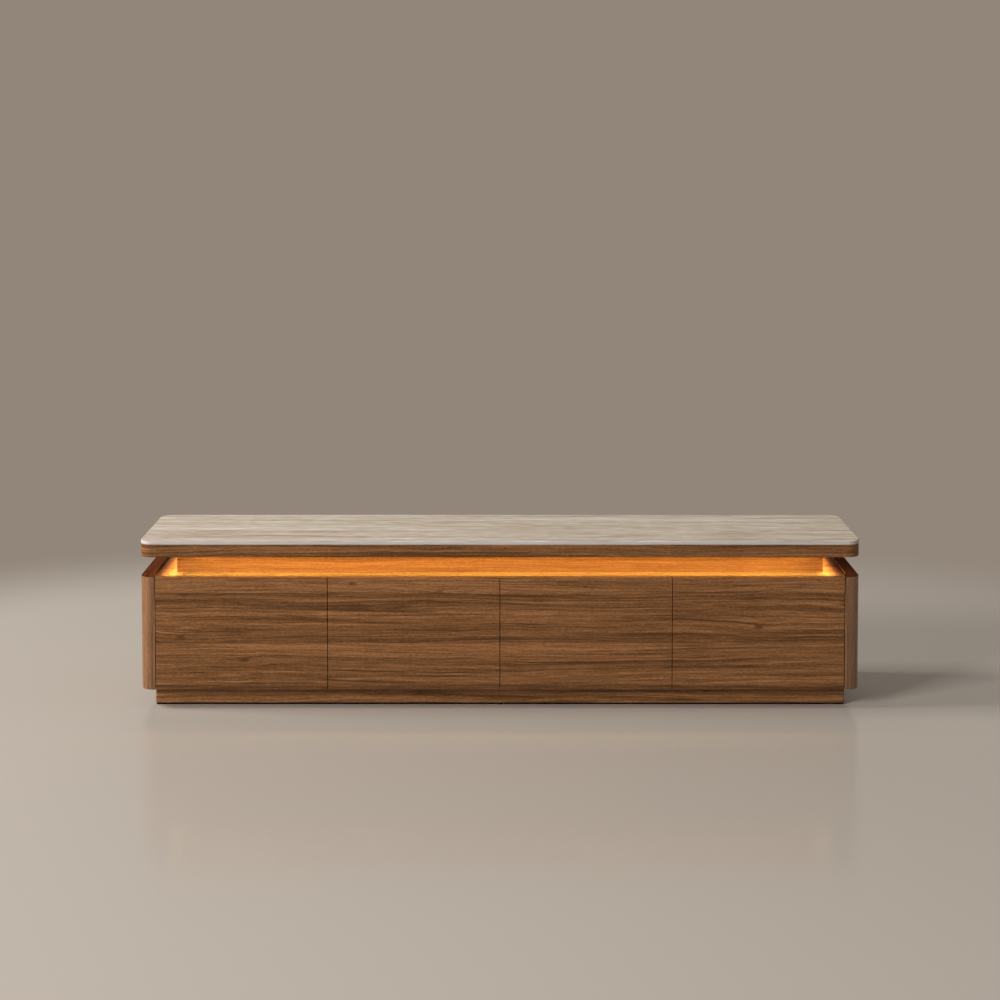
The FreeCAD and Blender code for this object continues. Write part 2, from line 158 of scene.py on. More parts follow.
# Knots: cells in a metre along and across, share of cells without one, and heart and swelling by distance
KNOT_CELLS = (4.0, 9.0)
KNOT_PICK = 0.78
KNOT_HEART = ((0.0, 1.0), (0.035, 0.8), (0.075, 0.0))
KNOT_BEND = ((0.0, 1.0), (0.12, 0.55), (0.45, 0.0))
KNOT_SWELL = 0.007
KNOT_DEPTH = 0.55

# Deck, painted light: tone in front of the riser, tone of the painted shade further off, and the distance
# over which it falls
DECK_PAINTED_LIGHT = 0.95
DECK_PAINTED_SHADE = 0.35
DECK_PAINTED_FALLOFF = 0.06

# Stone: the first layer bends the bands, with its weight in metres
FLOW = Streaks(0.8, 5.0, 2.0, 0.5, 0.022, 1.0)
BANDS = Streaks(0.8, 38.0, 4.0, 0.62, 1.0, 2.0)
FIBRES = Streaks(20.0, 300.0, 2.0, 0.5, 0.45, 3.0)
VEINS = Streaks(0.7, 16.0, 3.0, 0.6, 1.0, 4.0)
BREAKS = Streaks(5.0, 20.0, 2.0, 0.5, 1.0, 5.0)
DASHES = Streaks(5.0, 120.0, 2.0, 0.5, 0.8, 6.0)
MOTTLE = Streaks(20.0, 70.0, 2.0, 0.5, 0.45, 7.0)
STONE_SEED = 0.0
STONE_SHINE = 0.3
STONE_BUMP = (0.06, 0.0003)
VEIN_EDGE = ((0.0, 1.0), (0.04, 0.0))
VEIN_BREAK = ((0.0, 0.0), (0.12, 1.0))
VEIN_DEPTH = 0.7
FIBRE_ROUGHENING = 0.2
EDGE_COVER = 0.85
EDGE_ROUGHENING = 0.3

# Metal and plastic
METALS = {
    "anodised_channel": Metal((0.70, 0.70, 0.69), 0.42, Cloud((4.0, 400.0, 400.0), 3.0, 0.6)),
    "zinc_plate": Metal((0.66, 0.67, 0.69), 0.34, Cloud((300.0, 6.0, 300.0), 3.0, 0.6)),
    "zinc_fittings": Metal((0.68, 0.68, 0.69), 0.30, Cloud((200.0, 200.0, 200.0), 3.0, 0.6)),
}
METAL_SPOTS = Cloud((60.0, 60.0, 60.0))
METAL_SHARES = (0.6, 0.4)
METAL_EDGE = ((0.35, 0.0), (0.65, 1.0))
METAL_DARK = 0.72
METAL_ROUGHENING = 0.25
METAL_BUMP = (0.05, 0.0002)
PLASTICS = {
    "driver_case": Plastic((0.80, 0.79, 0.77), 0.42, 900.0),
    "inlet_case": Plastic((0.022, 0.022, 0.023), 0.38, 1100.0),
    "lead_sheath": Plastic((0.032, 0.031, 0.030), 0.48, 700.0),
    # Black plastic of the base strips and glides, made near-black as painted shade of the gap under the
    # plinth
    "black_base": Plastic((0.0045, 0.0040, 0.0036), 0.85, 800.0, 0.1),
}
PLASTIC_CLOUDS = Cloud((30.0, 30.0, 30.0))
PLASTIC_DARK = 0.86
PLASTIC_ROUGHENING = 0.2
PLASTIC_BUMP = (0.12, 0.0002)

# Birch: noise, and colours by tone. In a place with a fixed third part, the third wave picks a slice of noise
BIRCH_GRAIN = Cloud((3.0, 120.0, 120.0), 4.0, 0.6)
BIRCH_RAYS = Cloud((60.0, 500.0, 500.0))
BIRCH_LAYERS = Cloud((4.0, 420.0, 3.0), 1.0, 0.4)
BIRCH_FACE = ((0.30, (0.50, 0.345, 0.190)), (0.52, (0.60, 0.445, 0.265)), (0.75, (0.68, 0.530, 0.340)))
BIRCH_EDGE = ((0.40, (0.30, 0.190, 0.095)), (0.55, (0.60, 0.450, 0.270)))
BOTTOM_GRAIN = Cloud((2.2, 80.0, 1.0), 4.0, 0.6)
BOTTOM_RAYS = Cloud((40.0, 420.0, 2.0))
BOTTOM_FACE = ((0.30, (0.52, 0.365, 0.205)), (0.70, (0.66, 0.505, 0.320)))
BOTTOM_ROUGHNESS = 0.5
SLICE = 1.0
RAY_DEPTH = 0.3
RAY_BUMP = (0.10, 0.0002)
LAYER_DEPTH = 0.8
BIRCH_ROUGHNESS = 0.52
BIRCH_ROUGHENING = 0.2

# Light: covers, tapes with half the length of a chip, and the room between an end run and its lamp
COVER_TINT = (0.86, 0.84, 0.80)
COVER_ROUGHNESS = 0.5
COVER_WAVE = 0.04
BLACK = (0.0, 0.0, 0.0)
TAPE_GRAIN = Cloud((90.0, 90.0, 90.0))
TAPE_TINTS = ((0.80, 0.80, 0.78), (0.88, 0.87, 0.84))
TAPE_ROUGHNESS = 0.4
CHIP_TINT = (0.85, 0.62, 0.12)
CHIP_HALF = 0.0025
LAMP_ROOM = 0.0005

# Sizes of the solids that carry the fittings, in metres
INLET_FLANGE = 0.003
INLET_LIP = 0.004
INLET_WELL = 0.015
RUNNER_SHEET = 0.0012
BOX_SIDE = 0.015

# Heads: outline and cross recess in shares of radius and height, and the share above which points sink.
# The inlet's heads take shares of its lip and its flange
HEAD_OUTLINE = ((0.0, 0.0), (1.0, 0.0), (1.0, 0.35), (0.90, 0.70), (0.64, 0.95), (0.58, 0.97), (0.20, 1.0),
                (0.0, 1.0))
HEAD_TOP = 0.5
RECESS_REACH = 0.60
RECESS_HALF = 0.16
RECESS_DEPTH = 0.6
INLET_HEAD = (0.4, 0.25)

# Angles on the dome of a pin, and the fittings of a drawer with their places in metres
PIN_DOME = np.linspace(0.0, 1.2, 4)
RUNNER_HEAD_SIDES = 16
RUNNER_SCREWS = 3
RUNNER_SCREW_INSET = 0.035
CAM_ABOVE_FOOT = 0.055
CAM_BELOW_TOP = 0.035

# Stage: lamps and the point that they look at, the sensor in millimetres, the floor with its near part and
# the band where it fades, in metres
LAMPS = {
    "key": Lamp(90.0, 38.0, 12.0, 3.0),
    "side": Lamp(-85.0, 25.0, 12.0, 3.0),
    "fill": Lamp(50.0, 21.0, 15.0, 5.0),
    "back": Lamp(172.0, 15.0, 10.0, 6.0),
}
LAMP_TARGET = (0.0, 0.0, 0.25)
AMBIENT_TINT = (1.0, 0.985, 0.965)
SENSOR_WIDTH = 36.0
FLOOR_REACH = 60.0
FLOOR_ROUGHNESS = 0.16
NEAR_FRONT = 0.7
NEAR_HALF = (1.1, 0.9)
FADE_START = 0.9
FADE_END = 1.9


def colour(name, description, default):
    """Colour setting of a finish, in scene-linear values."""
    return FloatVectorProperty(name=name, description=description, default=default, subtype="COLOR",
                               size=3, min=0.0, max=1.0)


def length(name, description, default):
    """Length setting in metres."""
    return FloatProperty(name=name, description=description, default=default, unit="LENGTH", precision=4)


def angle(name, description, degrees):
    """Angle setting, given in degrees."""
    return FloatProperty(name=name, description=description, default=math.radians(degrees), subtype="ANGLE")


def share(name, description, default):
    """Setting between zero and one."""
    return FloatProperty(name=name, description=description, default=default, subtype="FACTOR",
                         min=0.0, max=1.0)


def strength(name, description, default):
    """Strength of a light."""
    return FloatProperty(name=name, description=description, default=default, min=0.0)


class StandWalnut(PropertyGroup):
    """Walnut veneer of the case, the board, the riser and the plinth."""

    deep: colour("Deep grain", "Colour of the darkest streaks", (0.080, 0.032, 0.0088))
    shade: colour("Shaded grain", "Colour between the deep and the middle streaks", (0.133, 0.055, 0.0168))
    middle: colour("Middle grain", "Main colour of the veneer", (0.178, 0.075, 0.0250))
    warm: colour("Warm grain", "Colour between the middle and the pale streaks", (0.234, 0.100, 0.0352))
    pale: colour("Pale grain", "Colour of the lightest streaks", (0.314, 0.141, 0.0540))
    # The rim colours are painted shade of the board above, reddened as a painted glow of the light in the gap
    rim: colour("Rim", "Colour of the sealed edges on top of the posts and the sides", (0.130, 0.038, 0.011))
    rim_deep: colour("Rim grain", "Colour of the streaks in the sealed edges", (0.050, 0.013, 0.004))
    lines: share("Dark lines", "Depth of the thin dark lines", 0.40)
    hairs: share("Hair lines", "Depth of the finer and shorter dark lines", 0.20)


class StandStone(PropertyGroup):
    """Vein-cut stone of the top."""

    ground: colour("Ground", "Main colour of the stone", (0.500, 0.415, 0.325))
    shade: colour("Shade", "Colour of the darker bands", (0.425, 0.340, 0.250))
    vein: colour("Vein", "Colour of the thin brown veins", (0.270, 0.190, 0.122))
    cloud: colour("Cloud", "Colour of the whitish bands", (0.690, 0.630, 0.575))
    edge: colour("Edge", "Colour of the upright edge", (0.470, 0.446, 0.456))
    roughness: share("Roughness", "Roughness of the honed face", 0.42)


class StandLight(PropertyGroup):
    """Warm light in the gap."""

    glow: colour("Glow", "Colour of the covers and of the front run's light", (1.0, 0.69, 0.22))
    end_glow: colour("End glow", "Colour of the end runs' light, deep in the board", (1.0, 0.54, 0.23))
    power: strength("Power", "Strength of the covers' own glow", 6.0)
    front: strength("Front run", "Light of the front run in watts", 2.55)
    ends: strength("End runs", "Light of each end run in watts", 0.39)
    spread: angle("Spread", "Angle that the front run lights", 156.0)
    end_spread: angle("End spread", "Angle that the end runs light", 62.0)
    tilt: angle("Tilt", "Turn of the front run towards the riser", 30.0)
    front_mouth: length("Front mouth", "Width of the front run", 0.017)
    end_mouth: length("End mouth", "Width of an end run", 0.014)
    wall: length("Channel wall", "Thickness of the channels' walls", 0.0012)
    pitch: length("Lamp pitch", "Distance between the lamps on the tapes", 0.0166)


class StandFittings(PropertyGroup):
    """Small fittings that the solids leave out."""

    screw_radius: length("Screw head radius", "Radius of the screws in the back panel", 0.0036)
    screw_rise: length("Screw head height", "Height of a screw head over its panel", 0.0012)
    screw_step: length("Screw distance", "Largest distance between the screws of a row", 0.24)
    screw_edge: length("Screw edge distance", "Distance of the screws from the panel's edge", 0.009)
    runner_screw_radius: length("Runner screw radius", "Radius of the screws in the runners", 0.0034)
    runner_screw_rise: length("Runner screw height", "Height of the screws in the runners", 0.0007)
    pin_radius: length("Pin radius", "Radius of the pins in the mains inlet", 0.0012)
    pin_gap: length("Pin distance", "Distance between the two pins", 0.0066)
    pin_length: length("Pin length", "Length of the pins in the mains inlet", 0.010)
    cam_radius: length("Cam radius", "Radius of the cams that draw a front to its box", 0.0075)
    cam_rise: length("Cam height", "Height of a cam over the drawer's side", 0.0006)
    cam_setback: length("Cam distance", "Distance of a cam behind the front", 0.034)


class StandStage(PropertyGroup):
    """Floor, lamps, background and camera.

    At a strength of one, a face turned to a lamp shows its colour as written.
    """

    floor: colour("Floor", "Colour of the floor", (0.440, 0.390, 0.335))
    background: colour("Background", "Colour of the background", (0.287, 0.238, 0.195))
    ambient: strength("Ambient", "Strength of the light from all sides", 0.205)
    key: strength("Key", "Light of the lamp at the left", 0.74)
    side: strength("Side", "Light of the lamp at the right", 0.06)
    fill: strength("Fill", "Light of the lamp at the front left", 1.02)
    back: strength("Back", "Light of the lamp behind", 0.22)
    camera_back: length("Camera distance", "Distance of the camera in front of the origin", 5.818)
    camera_up: length("Camera height", "Height of the camera", 1.7414)
    camera_tilt: angle("Camera tilt", "How far the camera looks down", 3.0)
    lens: FloatProperty(name="Focal length", description="Focal length on a sensor 36 mm wide",
                        default=67.19, unit="CAMERA")
    shift: FloatProperty(name="Vertical shift", description="Vertical shift of the lens", default=-0.2644)


class Wire:
    """One output of a node. Python's operators join it to others through Math nodes."""

    def __init__(self, nodes, socket):
        self.nodes = nodes
        self.socket = socket

    def math(self, operation, first, second=0.0):
        """Math node on two values or wires."""
        return self.nodes.node("Math", {"operation": operation}, {0: first, 1: second})

    def __add__(self, other):
        return self.math("ADD", self, other)

    def __radd__(self, other):
        return self.math("ADD", other, self)

    def __sub__(self, other):
        return self.math("SUBTRACT", self, other)

    def __rsub__(self, other):
        return self.math("SUBTRACT", other, self)

    def __mul__(self, other):
        return self.math("MULTIPLY", self, other)

    def __rmul__(self, other):
        return self.math("MULTIPLY", other, self)

    def __gt__(self, other):
        return self.math("GREATER_THAN", self, other)

    def __lt__(self, other):
        return self.math("LESS_THAN", self, other)

    def __abs__(self):
        return self.math("ABSOLUTE", self)

    def __mod__(self, other):
        return self.math("FLOORED_MODULO", self, other)


class Nodes:
    """Node tree of a material or of the world, with one method that adds any node."""

    def __init__(self, owner):
        owner.use_nodes = True
        self.owner = owner
        self.tree = owner.node_tree
        self.tree.nodes.clear()

    def node(self, kind, settings=None, inputs=None, output=0):
        """Add a node, set its settings, then its sockets, and give back one output."""
        node = self.tree.nodes.new("ShaderNode" + kind)
        for name, value in (settings or {}).items():
            if name == "stops":
                set_stops(node.color_ramp, value)
            else:
                setattr(node, name, value)
        for key, value in (inputs or {}).items():
            if isinstance(value, Wire):
                self.tree.links.new(value.socket, node.inputs[key])
            else:
                node.inputs[key].default_value = value
        return Wire(self, node.outputs[output] if node.outputs else None)

    def split(self, vector):
        """X, Y and Z of a vector."""
        first = self.node("SeparateXYZ", None, {0: vector})
        return [Wire(self, socket) for socket in first.socket.node.outputs]

    def place(self):
        """X, Y and Z of a point on the piece, in the frame of the part."""
        return self.split(self.node("TexCoord", None, None, "Object"))

    def flat(self, limit=FLAT_LIMIT):
        """One where a face looks up or down, and zero on upright faces."""
        normal = self.split(self.node("NewGeometry", None, None, "Normal"))
        return abs(normal[2]) > limit

    def largest(self, first, second):
        """Larger of two values."""
        return self.node("Math", {"operation": "MAXIMUM"}, {0: first, 1: second})

    def noise(self, place, octaves, share):
        """Cloudy noise around one half, with features of about one unit, at a place of three parts."""
        vector = self.node("CombineXYZ", None, dict(enumerate(place)))
        return self.node("TexNoise", {"noise_dimensions": "3D"},
                         {"Vector": vector, "Scale": 1.0, "Detail": octaves, "Roughness": share})

    def streaks(self, run, line, seed, layer):
        """Noise around zero, pulled out along a grain."""
        place = (run * layer.along, line * layer.across, seed + layer.offset)
        return (self.noise(place, layer.octaves, layer.share) - NOISE_MIDDLE) * layer.weight

    def cloud(self, place, layer):
        """Noise around one half, stretched along three axes."""
        stretched = [part * waves for part, waves in zip(place, layer.waves)]
        return self.noise(stretched, layer.octaves, layer.share)

    def ramp(self, factor, stops):
        """Colour by a factor, through stops of place and colour."""
        return self.node("ValToRGB", {"stops": stops}, {0: factor})

    def mix(self, factor, first, second):
        """Colour between two colours."""
        colours = [value if isinstance(value, Wire) else solid(value) for value in (first, second)]
        return self.node("Mix", {"data_type": "RGBA"}, {0: factor, 6: colours[0], 7: colours[1]}, 2)

    def bump(self, height, strength, distance):
        """Normal of a surface with small heights."""
        return self.node("Bump", None, {"Height": height, "Strength": strength, "Distance": distance})

    def principled(self, **sockets):
        """Principled shader. Underscores in the names stand for spaces."""
        named = {name.replace("_", " "): value for name, value in sockets.items()}
        return self.node("BsdfPrincipled", None, named)

    def close(self, kind, shader):
        """Link a shader to the output of the tree and give back the material or world."""
        self.node(kind, None, {"Surface": shader})
        return self.owner

    def surface(self, **sockets):
        """Material of one principled shader."""
        return self.close("OutputMaterial", self.principled(**sockets))


def set_stops(ramp, stops):
    """Put stops of place and colour on a colour ramp."""
    while len(ramp.elements) < len(stops):
        ramp.elements.new(1.0)
    for element, (place, value) in zip(ramp.elements, stops):
        element.position = place
        element.color = solid(value)


def solid(value):
    """Opaque colour from three values or from one grey."""
    parts = [value] * 3 if isinstance(value, float) else list(value)
    return (*parts, 1.0)


def scaled(value, factor):
    """Colour multiplied by one factor, or by three."""
    factors = [factor] * 3 if isinstance(factor, float) else factor
    return tuple(part * by for part, by in zip(value, factors))


def material(name):
    """Nodes of a new material."""
    return Nodes(bpy.data.materials.new(name))


def dress(finish, *names):
    """Give solids a material."""
    for name in names:
        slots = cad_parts[name].data.materials
        slots.clear()
        slots.append(finish)


def drawer_nodes(part):
    """Names of the same solid in every drawer."""
    return [f"drawer_{number}_{part}" for number in DRAWERS]


def level_grain(n):
    """Place along and across a veneer whose grain lies level and turns round the ends, and its flat faces."""
    x, y, z = n.place()
    flat = n.flat()
    along = x + y * (1 - flat)
    across = z + (y - z) * flat
    return along, across, flat


def upright_grain(n):
    """Place along and across a veneer with upright grain that turns round the corners, and its flat faces."""
    x, y, z = n.place()
    flat = n.flat()
    rear = y > 0.0
    around = y + abs(x) * (1 - 2 * rear)
    along = z + (y - z) * flat
    across = around + (x - around) * flat
    return along, across, flat


def leaf_tone(n, height):
    """Tone of the veneer by height, with a step at each joint of two leaves, and the number of the leaf."""
    bottoms = [leaf.bottom for leaf in LEAVES]
    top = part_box("drawer_1_front")[1][2]
    reach = top - bottoms[0]
    stops = []
    number = 0.0
    for leaf, end in zip(LEAVES, bottoms[1:] + [top]):
        centre = (leaf.bottom + end) / 2
        stops += [(leaf.bottom + LEAF_JOINT, leaf.low), (centre, leaf.middle), (end - LEAF_JOINT, leaf.high)]
        number = (height > leaf.bottom) + number
    stops = [((place - bottoms[0]) / reach, tone) for place, tone in stops]
    return n.ramp((height - bottoms[0]) * (1 / reach), stops), number


def painted_deck_light(n):
    """Tone of the deck as painted light: palest in front of the riser, and painted shade to its ends and its
    rear edge.
    """
    x, y = n.place()[:2]
    riser_end, riser_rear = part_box("riser_back_panel")[1][:2]
    off = n.largest(abs(x) - riser_end, y - riser_rear)
    return n.node("MapRange", None,
                  {"Value": off, "From Max": DECK_PAINTED_FALLOFF, "To Min": DECK_PAINTED_LIGHT, "To Max": DECK_PAINTED_SHADE})


def knots(n, run, across, seed):
    """Sparse small knots: their dark hearts, and the swelling that bends the grain round them."""
    place = n.node("CombineXYZ", None, {0: run * KNOT_CELLS[0], 1: across * KNOT_CELLS[1] + seed})
    cells = n.node("TexVoronoi", {"voronoi_dimensions": "2D"}, {"Vector": place, "Scale": 1.0}, "Color")
    away = Wire(n, cells.socket.node.outputs["Distance"])
    picked = n.split(cells)[0] > KNOT_PICK
    return n.ramp(away, KNOT_HEART) * picked, n.ramp(away, KNOT_BEND) * picked


def walnut(name, wood, grain, seed, tone=0.5, tint=PLAIN, vigour=1.0, rim=False, leaves=False, lip=0.0,
           roughness=0.46, shine=0.34):
    """Walnut veneer: a slow drift bends long and short streaks, with thin dark lines, fine pores and knots.

    The tone is a number or a function of the nodes. The tint colours the pale streaks: a painted glow on the
    deck and a painted sheen on the uprights. The vigour scales the figure, and the lip is added to the tone
    of level faces. A rim gives the level faces a darker, redder colour, painted shade and painted glow, with
    a duller finish.
    """
    n = material(name)
    along, across, flat = grain(n)
    run = along + seed * SEED_STEP
    if callable(tone):
        tone = tone(n)
    if leaves:
        tone, number = leaf_tone(n, across)
        run = run + number * LEAF_SHIFT
    heart, swell = knots(n, run, across, seed)
    line = across + n.streaks(run, across, seed, DRIFT) + n.streaks(run, across, seed, SWAY)
    line = line + swell * KNOT_SWELL
    short = n.streaks(run, line, seed, SHORT) + n.streaks(run, line, seed, FLECKS)
    threads = n.streaks(run, line, seed, THREADS)
    pores = n.streaks(run, line, seed, PORES)
    dark = n.ramp(abs(n.streaks(run, line, seed, LINES)), LINE_EDGE)
    hairs = n.ramp(abs(n.streaks(run, line, seed, HAIRS)), LINE_EDGE)
    figure = n.streaks(run, line, seed, BROAD) + threads + short - dark * wood.lines - hairs * wood.hairs
    depth = tone + figure * vigour + pores + flat * lip - heart * KNOT_DEPTH
    base = n.ramp(depth, [(0.0, wood.deep), (0.25, wood.shade), (0.5, wood.middle),
                          (0.75, scaled(wood.warm, tint)), (1.0, scaled(wood.pale, tint))])
    normal = n.bump(pores + short * SHORT_BUMP, *WALNUT_BUMP)
    shader = n.principled(Base_Color=base, Roughness=roughness - short * SHORT_SMOOTHING, Normal=normal,
                          Specular_IOR_Level=shine)
    if rim:
        # Painted shade and painted glow: the rim's level faces take a darker, redder colour
        shaded = n.ramp(depth, [(0.1, wood.rim_deep), (0.9, wood.rim)])
        edge = n.principled(Base_Color=shaded, Roughness=RIM_ROUGHNESS, Specular_IOR_Level=RIM_SHINE)
        shader = n.node("MixShader", None, {0: flat, 1: shader, 2: edge})
    return n.close("OutputMaterial", shader)


class STAND_OT_walnut_case(Operator):
    """Walnut veneer with level grain on the fronts, the board, the riser, the deck and the plinth"""

    bl_idname = "stand.walnut_case"
    bl_label = "Dress the walnut case"

    def execute(self, context):
        wood = context.scene.stand_walnut
        fronts = walnut("walnut_fronts", wood, level_grain, seed=1.0, leaves=True, lip=0.35)
        dress(fronts, *drawer_nodes("front"))
        board = walnut("walnut_board", wood, level_grain, seed=2.0, tone=0.52)
        dress(board, "top_board")
        # The riser's paler tone is partly painted light, standing in for part of the front run's light
        riser = walnut("walnut_riser", wood, level_grain, seed=3.0, tone=0.80, vigour=0.6, shine=0.15)
        dress(riser, "riser_front_panel", "riser_back_panel", "riser_end_left", "riser_end_right")
        # The deck's tone and tint paint the gap's light: a pale, yellower pool before the riser and painted
        # shade further off
        deck = walnut("walnut_deck", wood, level_grain, seed=4.0, tone=painted_deck_light, tint=DECK_PAINTED_GLOW, shine=0.1)
        dress(deck, "deck_panel")
        bottom = walnut("walnut_bottom", wood, level_grain, seed=9.0, tone=0.56)
        dress(bottom, "bottom_panel")
        # The plinth's paler tone is painted light that offsets the shade under the case's overhang
        plinth = walnut("walnut_plinth", wood, level_grain, seed=5.0, tone=0.66)
        dress(plinth, "plinth_front", "plinth_back", "plinth_ends")
        partitions = walnut("walnut_partitions", wood, level_grain, seed=6.0)
        dress(partitions, "partition_left", "partition_centre", "partition_right")
        return {"FINISHED"}


class STAND_OT_walnut_uprights(Operator):
    """Walnut veneer with upright grain on the corner posts and the sides"""

    bl_idname = "stand.walnut_uprights"
    bl_label = "Dress the walnut uprights"

    def execute(self, context):
        wood = context.scene.stand_walnut
        names = [f"corner_post_{row}_{hand}" for row in ("front", "rear") for hand, _ in HANDS]
        names += [f"side_panel_{hand}" for hand, _ in HANDS]
        # Painted sheen: the paler tone and the bluer pale streaks stand in for the gloss on the posts
        uprights = walnut("walnut_uprights", wood, upright_grain, seed=7.0, tone=0.60, tint=UPRIGHT_PAINTED_SHEEN,
                          vigour=0.85, rim=True, roughness=0.38, shine=1.0)
        dress(uprights, *names)
        return {"FINISHED"}


class STAND_OT_stone_top(Operator):
    """Vein-cut stone with long pale bands, short dashes, thin brown veins and a greyer, duller edge"""

    bl_idname = "stand.stone_top"
    bl_label = "Dress the stone top"

    def execute(self, context):
        stone = context.scene.stand_stone
        n = material("stone_vein_cut")
        run, across = level_grain(n)[:2]
        line = across + n.streaks(run, across, STONE_SEED, FLOW)
        layers = (FIBRES, BANDS, DASHES, MOTTLE, VEINS, BREAKS)
        fibres, bands, dashes, mottle, veins, breaks = (
            n.streaks(run, line, STONE_SEED, layer) for layer in layers)
        figure = bands + (dashes + mottle) + fibres
        face = n.ramp(figure + NOISE_MIDDLE, [(0.15, stone.vein), (0.38, stone.shade), (0.52, stone.ground),
                                              (0.80, stone.cloud)])
        thin = n.ramp(abs(veins), VEIN_EDGE) * n.ramp(breaks, VEIN_BREAK)
        face = n.mix(thin * VEIN_DEPTH, face, stone.vein)
        rim = 1 - n.flat(ARRIS_LIMIT)
        face = n.mix(rim * EDGE_COVER, face, stone.edge)
        roughness = stone.roughness + fibres * FIBRE_ROUGHENING + rim * EDGE_ROUGHENING
        dress(n.surface(Base_Color=face, Roughness=roughness, Normal=n.bump(fibres, *STONE_BUMP),
                        Specular_IOR_Level=STONE_SHINE), "stone_top")
        return {"FINISHED"}


def metal(name):
    """Bare metal: fine noise, pulled out along one axis where it is drawn, varies tone and roughness."""
    look = METALS[name]
    n = material(name)
    place = n.place()
    lines = n.cloud(place, look.lines)
    spots = n.cloud(place, METAL_SPOTS)
    mask = n.ramp(lines * METAL_SHARES[0] + spots * METAL_SHARES[1], METAL_EDGE)
    base = n.mix(mask, scaled(look.tint, METAL_DARK), look.tint)
    return n.surface(Base_Color=base, Metallic=1.0, Normal=n.bump(lines, *METAL_BUMP),
                     Roughness=look.roughness + (lines - NOISE_MIDDLE) * METAL_ROUGHENING)


def plastic(name):
    """Moulded plastic with a fine pebbled face."""
    look = PLASTICS[name]
    n = material(name)
    place = n.place()
    pebbles = n.cloud(place, Cloud((look.grain, look.grain, look.grain)))
    cloudy = n.cloud(place, PLASTIC_CLOUDS)
    base = n.mix(cloudy, scaled(look.tint, PLASTIC_DARK), look.tint)
    return n.surface(Base_Color=base, Roughness=look.roughness + (cloudy - NOISE_MIDDLE) * PLASTIC_ROUGHENING,
                     Normal=n.bump(pebbles, *PLASTIC_BUMP), Specular_IOR_Level=look.shine)


def add_strip(name, centre, facing, size, tint, power, spread):
    """Long narrow lamp that gives off a cover's light. It isn't seen itself, nor in gloss."""
    data = bpy.data.lights.new(name, "AREA")
    data.shape = "RECTANGLE"
    data.size, data.size_y = size
    data.color = tint
    data.energy = power
    data.spread = spread
    item = bpy.data.objects.new(name, data)
    item.location = centre
    item.rotation_euler = (-Vector(facing)).to_track_quat("Z", "Y").to_euler()
    hide_lamp(item)


def hide_lamp(item):
    """Put a lamp into the scene, hidden from the camera and from gloss."""
    item.visible_camera = False
    item.visible_glossy = False
    bpy.context.scene.collection.objects.link(item)


class STAND_OT_light(Operator):
    """Channels, tapes and glowing covers in the board, with their driver, lead and mains inlet"""

    bl_idname = "stand.light"
    bl_label = "Dress the light"

    def execute(self, context):
        light = context.scene.stand_light
        dress(metal("anodised_channel"), "led_channel_front", "led_channel_ends")
        self.covers(light)
        self.tapes(light)
        self.front_lamp(light)
        self.end_lamps(light)
        dress(plastic("driver_case"), "led_driver")
        dress(plastic("inlet_case"), "led_inlet")
        dress(plastic("lead_sheath"), "led_lead")
        return {"FINISHED"}

    def covers(self, light):
        """Opal covers whose glow rises and falls a little along the row of lamps."""
        n = material("opal_cover")
        x, y = n.place()[:2]
        wave = n.node("Math", {"operation": "COSINE"}, {0: (x + y) * (2 * math.pi / light.pitch)})
        glow = n.mix((1 - COVER_WAVE) + wave * COVER_WAVE, BLACK, light.glow)
        dress(n.surface(Base_Color=solid(COVER_TINT), Roughness=COVER_ROUGHNESS, Emission_Color=glow,
                        Emission_Strength=light.power), "led_diffusers")

    def tapes(self, light):
        """White tapes with a row of yellow lamps."""
        n = material("light_tape")
        place = n.place()
        chip = abs((place[0] + place[1]) % light.pitch - light.pitch / 2) < CHIP_HALF
        board = n.mix(n.cloud(place, TAPE_GRAIN), *TAPE_TINTS)
        dress(n.surface(Base_Color=n.mix(chip, board, CHIP_TINT), Roughness=TAPE_ROUGHNESS), "led_tapes")

    def front_lamp(self, light):
        """Lamp in the mouth of the front run, which is turned towards the riser."""
        low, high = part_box("led_channel_front")
        across, up = math.cos(light.tilt), math.sin(light.tilt)
        half = light.front_mouth / 2
        centre = ((low[0] + high[0]) / 2, high[1] - half * across, low[2] + half * up)
        size = (high[0] - low[0], light.front_mouth - 2 * light.wall)
        add_strip("front_run_lamp", centre, (0.0, up, -across), size, light.glow, light.front, light.spread)

    def end_lamps(self, light):
        """Lamp just under each end run, with a spread as narrow as the depth of the run leaves it."""
        low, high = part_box("led_channel_ends")
        size = (light.end_mouth - 2 * light.wall, high[1] - low[1])
        for hand, side in HANDS:
            centre = (side * (high[0] - light.end_mouth / 2), (low[1] + high[1]) / 2, low[2] - LAMP_ROOM)
            add_strip(f"{hand}_run_lamp", centre, (0.0, 0.0, -1.0), size, light.end_glow, light.ends,
                      light.end_spread)


def birch(name, turned=False):
    """Birch plywood with layers on its level edges, grained from front to back, or across when turned."""
    n = material(name)
    x, y, z = n.place()
    run, depth = (x, y) if turned else (y, x)
    streaks = n.cloud((run, z, depth), BIRCH_GRAIN)
    rays = n.cloud((run, z, depth), BIRCH_RAYS)
    layers = n.cloud((run, depth, SLICE), BIRCH_LAYERS)
    face = n.ramp(streaks + (rays - NOISE_MIDDLE) * RAY_DEPTH, BIRCH_FACE)
    base = n.mix(n.flat() * LAYER_DEPTH, face, n.ramp(layers, BIRCH_EDGE))
    roughness = BIRCH_ROUGHNESS + (streaks - NOISE_MIDDLE) * BIRCH_ROUGHENING
    return n.surface(Base_Color=base, Roughness=roughness, Normal=n.bump(rays, *RAY_BUMP))


